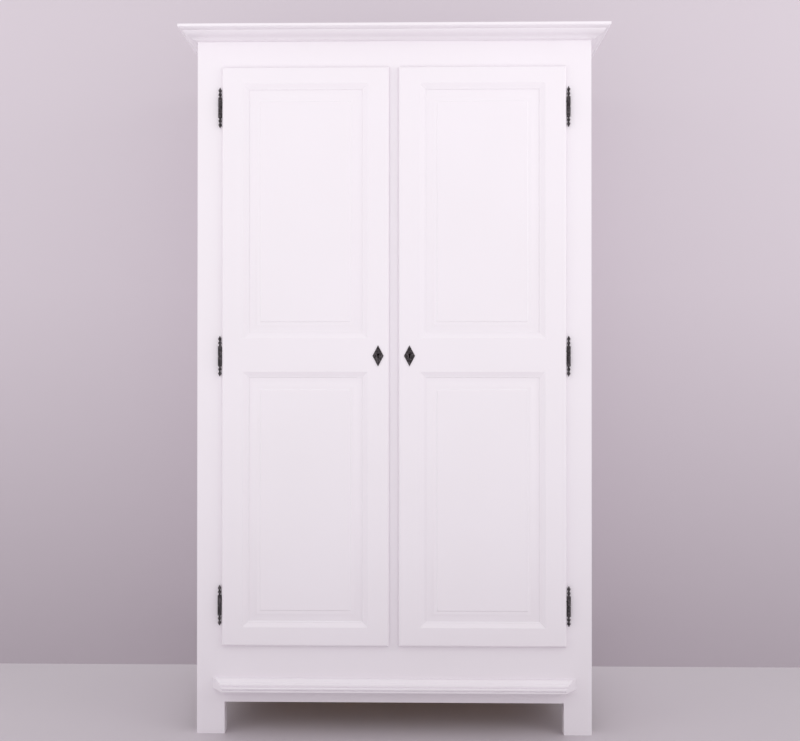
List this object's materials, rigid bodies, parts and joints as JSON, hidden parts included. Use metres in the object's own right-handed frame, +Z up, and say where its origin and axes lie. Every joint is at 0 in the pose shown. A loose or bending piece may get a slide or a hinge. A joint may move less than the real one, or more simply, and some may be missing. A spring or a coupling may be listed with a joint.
{
  "type": "wardrobe",
  "caption": "Free-standing painted wardrobe with panelled doors on lift-off hinges, a moulded cornice and keyhole locks.",
  "frame": {"origin": "on the floor below the middle of the overall box", "axes": "+Z up, the doors face -Y, +X to the right as seen from the front"},
  "size_m": [1.2, 0.6, 1.982],
  "materials": {
    "white_paint": "satin",
    "bare_pine": "matte",
    "dark_iron": "satin",
    "steel": "satin"
  },
  "bodies": {
    "carcass": {"left_front_stile": "white_paint", "right_front_stile": "white_paint", "top_rail": "white_paint", "bottom_rail": "white_paint", "centre_mullion": "white_paint", "left_rear_post": "white_paint", "right_rear_post": "white_paint", "rear_top_rail": "bare_pine", "rear_bottom_rail": "bare_pine", "rear_muntin": "bare_pine", "left_back_panel": "bare_pine", "right_back_panel": "bare_pine", "left_side_panel": "white_paint", "right_side_panel": "white_paint", "floor_board": "bare_pine", "floor_battens": "bare_pine", "top_board": "white_paint", "hat_shelf": "bare_pine", "shelf_battens": "bare_pine", "hanging_rail": "bare_pine", "rail_sockets": "bare_pine", "cornice_front": "white_paint", "cornice_left": "white_paint", "cornice_right": "white_paint", "plinth_moulding": "white_paint", "strike_plates": "steel", "strike_screws": "steel", "batten_and_socket_screws": "steel", "hinge_pins": "steel", "left_frame_hinge_halves": "dark_iron", "right_frame_hinge_halves": "dark_iron"},
    "left_door": {"left_door_hinge_stile": "white_paint", "left_door_lock_stile": "white_paint", "left_door_top_rail": "white_paint", "left_door_lock_rail": "white_paint", "left_door_bottom_rail": "white_paint", "left_door_upper_panel": "white_paint", "left_door_lower_panel": "white_paint", "left_door_escutcheon": "dark_iron", "left_door_escutcheon_pins": "dark_iron", "left_door_lock_case": "steel", "left_door_lock_cover": "steel", "left_door_lock_screws": "steel", "left_door_hinge_halves": "dark_iron"},
    "left_bolt": {"left_door_lock_bolt": "steel"},
    "right_door": {"right_door_hinge_stile": "white_paint", "right_door_lock_stile": "white_paint", "right_door_top_rail": "white_paint", "right_door_lock_rail": "white_paint", "right_door_bottom_rail": "white_paint", "right_door_upper_panel": "white_paint", "right_door_lower_panel": "white_paint", "right_door_escutcheon": "dark_iron", "right_door_escutcheon_pins": "dark_iron", "right_door_lock_case": "steel", "right_door_lock_cover": "steel", "right_door_lock_screws": "steel", "right_door_hinge_halves": "dark_iron"},
    "right_bolt": {"right_door_lock_bolt": "steel"}
  },
  "joints": [
    {"name": "left_door_swing", "type": "hinge", "parent": "carcass", "child": "left_door", "pos_m": [-0.4892, -0.2604, 1.0605], "axis": [0, 0, -1], "range_deg": [0, 170]},
    {"name": "right_door_swing", "type": "hinge", "parent": "carcass", "child": "right_door", "pos_m": [0.4892, -0.2604, 1.0605], "axis": [0, 0, 1], "range_deg": [0, 170]},
    {"name": "left_bolt_slide", "type": "slide", "parent": "left_door", "child": "left_bolt", "axis": [1, 0, 0], "range_m": [0, 0.01]},
    {"name": "right_bolt_slide", "type": "slide", "parent": "right_door", "child": "right_bolt", "axis": [-1, 0, 0], "range_m": [0, 0.01]}
  ]
}
